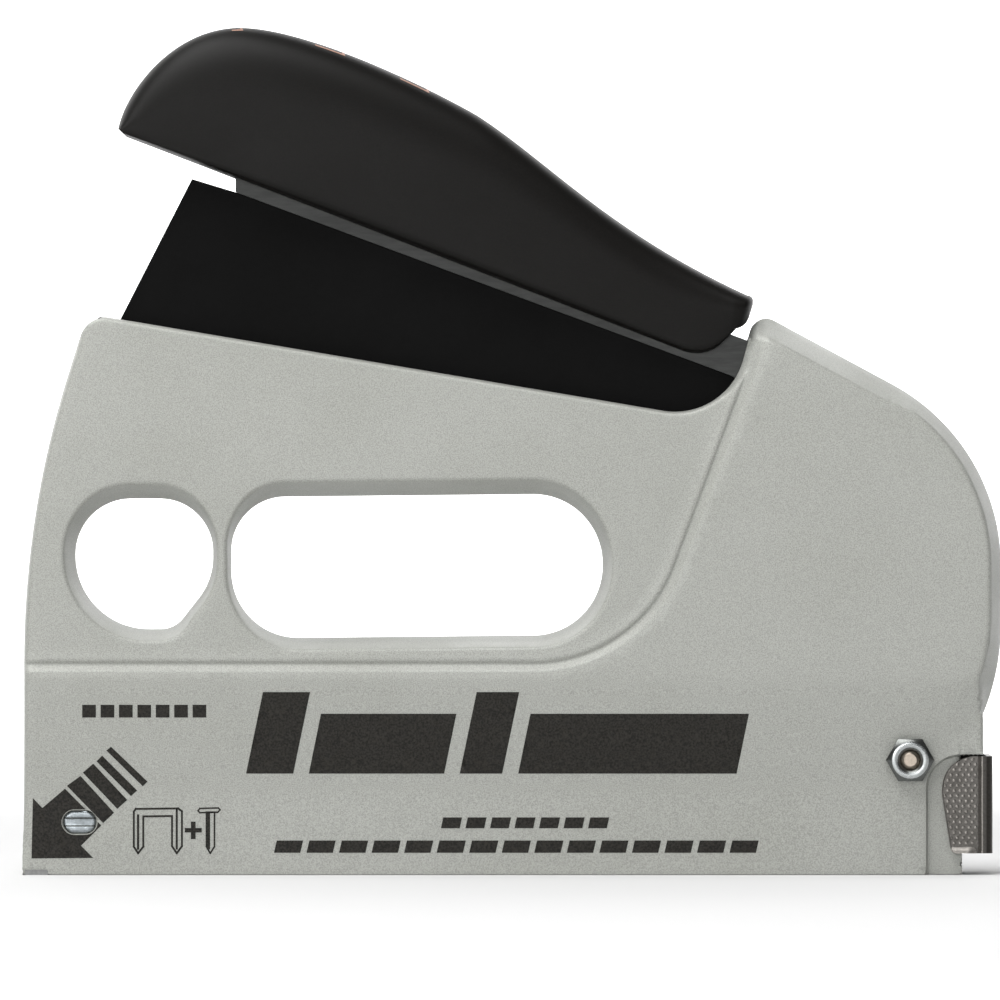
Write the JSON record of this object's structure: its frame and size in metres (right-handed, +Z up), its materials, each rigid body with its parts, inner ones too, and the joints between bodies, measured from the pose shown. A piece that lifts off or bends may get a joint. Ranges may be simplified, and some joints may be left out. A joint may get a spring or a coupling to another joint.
{
  "type": "hand staple gun",
  "caption": "Forward-action hand staple gun with hinged top handle, finger openings, rear-loading magazine and knurled latch clip.",
  "frame": {"origin": "centre of the bounding box at the base", "axes": "+X towards the rear (latch end), +Y towards the tool's right side, +Z up; the nose is at -X"},
  "size_m": [0.2082, 0.0308, 0.1802],
  "materials": {
    "cast_paint": "satin",
    "dark_steel": "matte",
    "zinc": "satin",
    "plain_steel": "satin",
    "bumper_rubber": "matte",
    "grip_black": "matte",
    "guard_black": "matte",
    "bushing_brass": "satin",
    "spring_steel": "satin",
    "staple_zinc": "satin",
    "clip_steel": "satin"
  },
  "bodies": {
    "body": {"left_housing": "cast_paint", "right_housing": "cast_paint", "nose_guide_plate": "dark_steel", "nose_screws": "zinc", "housing_screws": "zinc", "rear_bolt": "zinc", "rear_hex_nut": "zinc", "handle_pivot_pin": "plain_steel", "lever_pivot_pin": "plain_steel", "lever_bumper": "bumper_rubber", "spring_seat": "plain_steel", "power_spring": "spring_steel", "magazine_channel": "plain_steel", "staple_rail": "plain_steel", "staple_strip": "staple_zinc"},
    "handle": {"grip": "grip_black", "handle_channel": "dark_steel", "pinch_guard": "guard_black", "channel_rivets": "plain_steel", "roller_pin": "plain_steel"},
    "roller": {"handle_roller": "plain_steel"},
    "lever": {"lifting_lever": "plain_steel", "lever_bushing": "bushing_brass", "spring_cap": "plain_steel"},
    "striker": {"striker_blade": "plain_steel"},
    "magazine_rod": {"pusher_rod": "plain_steel", "rod_stop_ring": "dark_steel", "rod_block": "plain_steel", "latch_cap": "guard_black", "latch_clip": "clip_steel", "pusher_spring": "spring_steel"},
    "follower": {"follower": "plain_steel"}
  },
  "joints": [
    {"name": "handle_squeeze", "type": "hinge", "parent": "body", "child": "handle", "pos_m": [0.0823, 0, 0.0922], "axis": [0, -1, 0], "range_deg": [0, 11], "stiffness_Nm_per_rad": 12, "springref_deg": -14.32},
    {"name": "lever_swing", "type": "hinge", "parent": "body", "child": "lever", "pos_m": [0.0292, 0, 0.066], "axis": [0, 1, 0], "range_deg": [0, 6.6], "deforming": ["power_spring"]},
    {"name": "striker_lift", "type": "slide", "parent": "body", "child": "striker", "axis": [0, 0, 1], "range_m": [0, 0.0146]},
    {"name": "roller_spin", "type": "hinge", "parent": "handle", "child": "roller", "pos_m": [0.0623, 0, 0.0869], "axis": [0, 1, 0], "continuous": true},
    {"name": "magazine_pull", "type": "slide", "parent": "body", "child": "magazine_rod", "axis": [1, 0, 0], "range_m": [0, 0.17]},
    {"name": "follower_slide", "type": "slide", "parent": "magazine_rod", "child": "follower", "axis": [1, 0, 0], "range_m": [0, 0.04], "stiffness_N_per_m": 60, "springref_m": -0.05, "deforming": ["pusher_spring"]}
  ],
  "couplings": [
    {"joint": "lever_swing", "follows": "handle_squeeze", "ratio": 0.59},
    {"joint": "striker_lift", "follows": "handle_squeeze", "m_per_rad": 0.0757}
  ]
}
